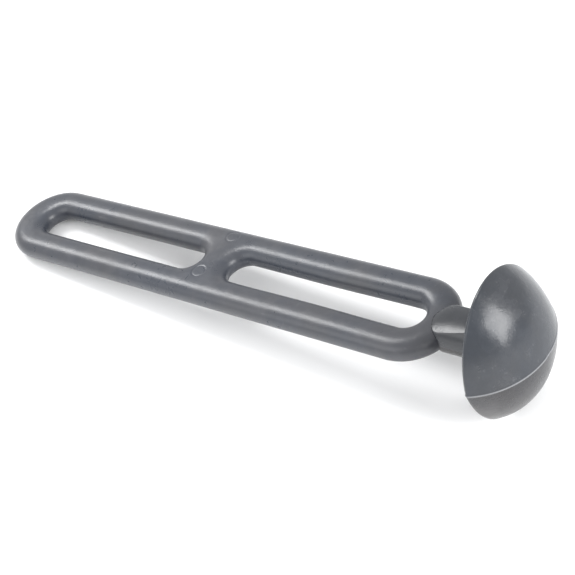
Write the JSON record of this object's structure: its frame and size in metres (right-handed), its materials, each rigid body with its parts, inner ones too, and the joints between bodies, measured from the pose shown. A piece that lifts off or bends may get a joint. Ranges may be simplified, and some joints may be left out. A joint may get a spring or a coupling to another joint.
{
  "type": "training bumper",
  "caption": "Moulded training bumper: a flat slotted carrying handle with rounded bars, a short round neck and an oval dome head with a parting seam.",
  "frame": {"origin": "centre of the whole bumper's bounding box, on the parting plane of the head halves", "axes": "+X along the handle from the tail loop to the top of the dome, +Y across the handle, +Z square to the parting plane"},
  "size_m": [0.3039, 0.06, 0.0694],
  "materials": {
    "slate_handle": "semi-matte moulded slate-grey plastic with a fine moulded texture and light scuffs",
    "slate_head": "semi-matte moulded slate-grey plastic, slightly darker than the handle, with a thin raised parting seam",
    "core_foam": "closed-cell foam with a fine open skin",
    "pin_steel": "plain ground steel dowel",
    "pin_plastic": "plain grey moulded pins"
  },
  "bodies": {
    "root": {"handle_frame": "slate_handle", "head_upper": "slate_head", "head_lower": "slate_head", "float_core": "core_foam", "cross_pin": "pin_steel", "locating_pins": "pin_plastic"}
  },
  "joints": []
}
